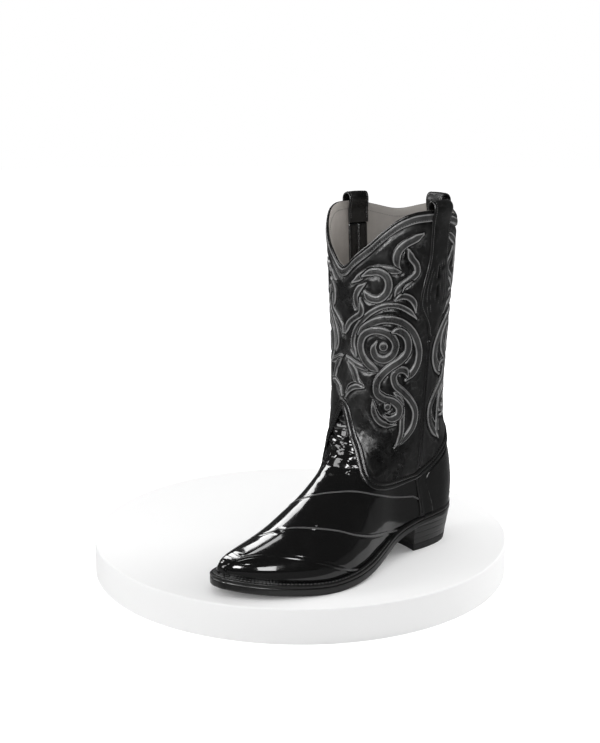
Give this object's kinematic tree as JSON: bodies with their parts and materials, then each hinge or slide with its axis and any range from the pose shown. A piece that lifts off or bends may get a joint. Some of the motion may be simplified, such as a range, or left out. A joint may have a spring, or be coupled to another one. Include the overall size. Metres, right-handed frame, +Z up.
{
  "type": "western boot",
  "caption": "Tall pull-on leather boot with a scalloped leg opening, loop pull straps, a welted leather sole and a stacked, underslung heel.",
  "frame": {"origin": "on the floor under the middle of the boot's outer box, heel and ball of the sole standing on the floor", "axes": "+Z up along the leg, toe toward -Y, the wearer's left side toward +X"},
  "size_m": [0.1355, 0.2898, 0.3526],
  "materials": {
    "gloss_leather": "mirror gloss, plain",
    "burnished_leather": "semi-gloss, burnished and stitched",
    "trim_leather": "gloss",
    "strap_leather": "semi-gloss, stitched edges",
    "lining_leather": "matte, natural",
    "stiff_board": "matte fibre",
    "insole_leather": "matte",
    "cork": "matte ground cork",
    "steel": "satin",
    "sole_leather": "satin, dyed edge",
    "thread": "waxed thread",
    "heel_leather": "satin stacked layers",
    "rubber": "matte",
    "brass": "satin"
  },
  "bodies": {
    "root": {"vamp": "gloss_leather", "counter_cover": "gloss_leather", "toe_box": "stiff_board", "counter_stiffener": "stiff_board", "vamp_lining": "lining_leather", "heel_lining": "lining_leather", "front_shaft_panel": "burnished_leather", "back_left_shaft_panel": "burnished_leather", "back_right_shaft_panel": "burnished_leather", "front_shaft_lining": "lining_leather", "back_left_shaft_lining": "lining_leather", "back_right_shaft_lining": "lining_leather", "collar_band": "trim_leather", "left_seam_piping": "trim_leather", "right_seam_piping": "trim_leather", "back_seam_piping": "trim_leather", "topline_binding": "trim_leather", "left_pull_strap": "strap_leather", "right_pull_strap": "strap_leather", "back_pull_strap": "strap_leather", "left_inner_strip": "trim_leather", "right_inner_strip": "trim_leather", "back_inner_strip": "trim_leather", "insole": "insole_leather", "heel_sock": "lining_leather", "shank": "steel", "cork_filler": "cork", "welt": "sole_leather", "heel_seat_rand": "sole_leather", "welt_stitching": "thread", "outsole": "sole_leather", "heel_wedge": "heel_leather", "heel_lift_1": "heel_leather", "heel_lift_2": "heel_leather", "heel_lift_3": "heel_leather", "heel_cap": "rubber", "heel_nails": "brass"}
  },
  "joints": []
}
